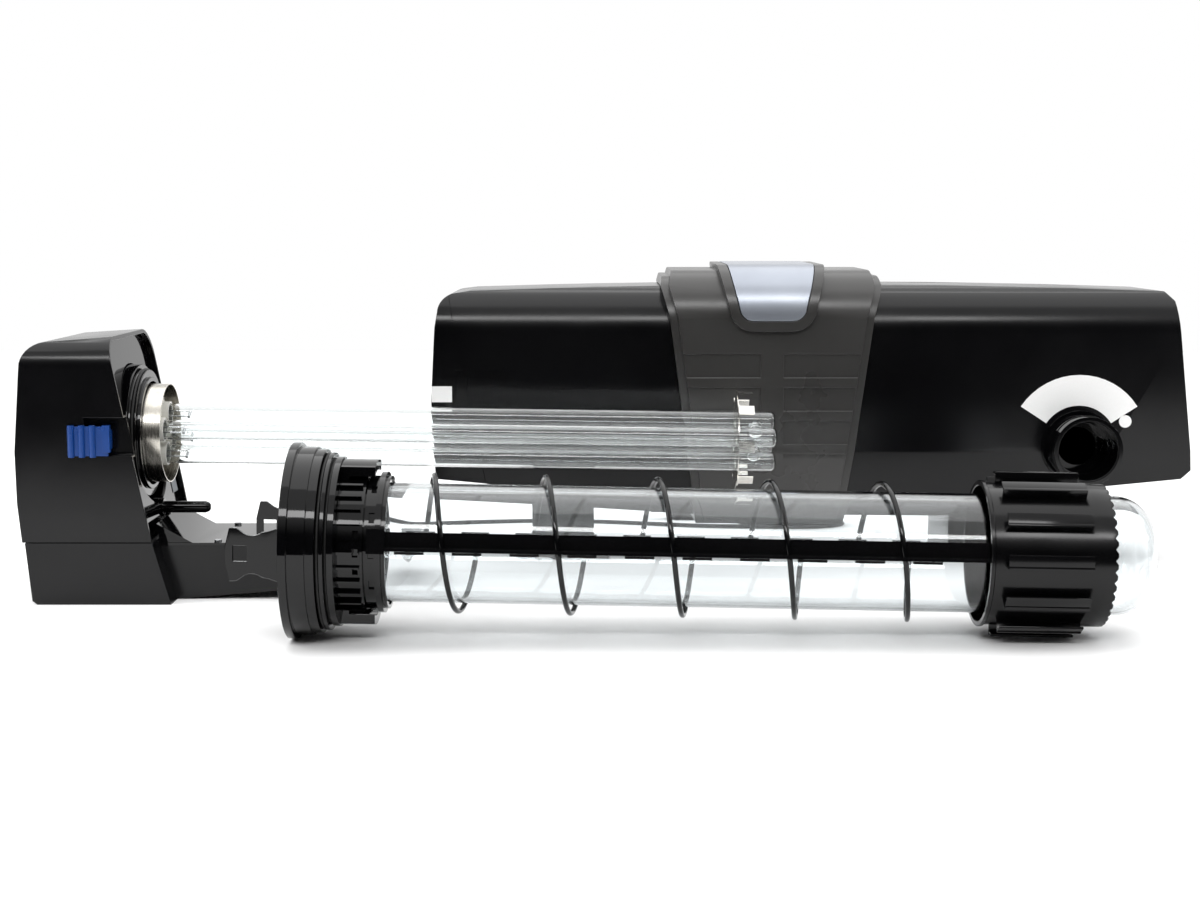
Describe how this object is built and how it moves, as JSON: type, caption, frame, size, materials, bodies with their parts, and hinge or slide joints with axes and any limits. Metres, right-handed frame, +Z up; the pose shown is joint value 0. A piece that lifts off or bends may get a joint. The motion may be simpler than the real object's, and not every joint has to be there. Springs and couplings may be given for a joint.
{
  "type": "uv clarifier",
  "caption": "Pond ultraviolet water clarifier laid out in three units: flow housing on legs, lamp head with lamps, and quartz sleeve with cleaning rotor.",
  "frame": {"origin": "on the bench, at the middle of the layout's outline without the mains lead", "axes": "+X to the right along the housing, +Y to the back, +Z up"},
  "size_m": [0.989, 0.7382, 0.2684],
  "materials": {
    "black_plastic": "satin",
    "deep_black_plastic": "gloss",
    "grey_plastic": "satin",
    "silver_plastic": "satin",
    "blue_plastic": "satin",
    "white_plastic": "matte",
    "paper_label": "matte",
    "grey_label": "matte",
    "quartz": "clear",
    "lamp_glass": "clear",
    "stainless": "brushed",
    "spring_steel": "bright",
    "seal_rubber": "matte",
    "lead_rubber": "matte"
  },
  "bodies": {
    "housing": {"housing_body": "black_plastic", "housing_end_ring": "black_plastic", "chamber_tube": "deep_black_plastic", "saddle_cover": "grey_plastic", "saddle_insert": "silver_plastic", "front_stub": "deep_black_plastic", "rear_stub": "deep_black_plastic", "flow_label": "paper_label", "maker_label": "paper_label", "leg_left": "black_plastic", "leg_right": "black_plastic", "housing_screws": "stainless"},
    "bypass": {"bypass_insert": "deep_black_plastic"},
    "lamp_head": {"head_cover": "black_plastic", "head_tray": "black_plastic", "tray_lid": "black_plastic", "end_plate": "deep_black_plastic", "lamp_collar": "deep_black_plastic", "collar_seal": "seal_rubber", "reflector_ring": "stainless", "lamp_holders": "white_plastic", "guide_pin": "black_plastic", "ballast": "white_plastic", "head_screws": "stainless", "head_label": "grey_label", "cable_gland": "deep_black_plastic", "mains_lead": "lead_rubber", "lead_coil": "lead_rubber", "lead_end": "lead_rubber", "mains_plug": "lead_rubber"},
    "front_latch": {"latch_front": "blue_plastic"},
    "back_latch": {"latch_back": "blue_plastic"},
    "lamps": {"lamp_tubes": "lamp_glass", "lamp_caps": "white_plastic", "lamp_electrodes": "stainless", "centring_clip": "spring_steel"},
    "sleeve": {"sleeve_carrier": "black_plastic", "bayonet_collar": "deep_black_plastic", "carrier_seals": "seal_rubber", "quartz_sleeve": "quartz", "sleeve_seal": "seal_rubber"},
    "nut": {"clamp_nut": "deep_black_plastic"},
    "rotor": {"rotor_ring": "deep_black_plastic", "wiper_bars": "black_plastic", "wiper_lips": "seal_rubber", "rotor_hoops": "deep_black_plastic", "paddle_drum": "black_plastic"}
  },
  "joints": [
    {"name": "head_slide", "type": "slide", "parent": "housing", "child": "lamp_head", "axis": [-1, 0, 0], "range_m": [0, 0.1]},
    {"name": "sleeve_slide", "type": "slide", "parent": "housing", "child": "sleeve", "axis": [0, -1, 0], "range_m": [0, 0.1]},
    {"name": "rotor_spin", "type": "hinge", "parent": "sleeve", "child": "rotor", "pos_m": [-0.255, -0.187, 0.0727], "axis": [0.9998, 0, -0.0192], "continuous": true},
    {"name": "nut_turn", "type": "hinge", "parent": "sleeve", "child": "nut", "pos_m": [-0.255, -0.187, 0.0727], "axis": [0.9998, 0, -0.0192], "range_deg": [0, 60]},
    {"name": "lamps_pull", "type": "slide", "parent": "lamp_head", "child": "lamps", "axis": [0.9999, 0, -0.014], "range_m": [0, 0.06]},
    {"name": "front_latch_slide", "type": "slide", "parent": "lamp_head", "child": "front_latch", "axis": [-1, 0, 0], "range_m": [0, 0.008], "stiffness_N_per_m": 300, "springref_m": -0.002},
    {"name": "back_latch_slide", "type": "slide", "parent": "lamp_head", "child": "back_latch", "axis": [-1, 0, 0], "range_m": [0, 0.008], "stiffness_N_per_m": 300, "springref_m": -0.002},
    {"name": "bypass_turn", "type": "hinge", "parent": "housing", "child": "bypass", "pos_m": [0.393, 0.089, 0.109], "axis": [0, -1, 0], "range_deg": [0, 90]}
  ]
}
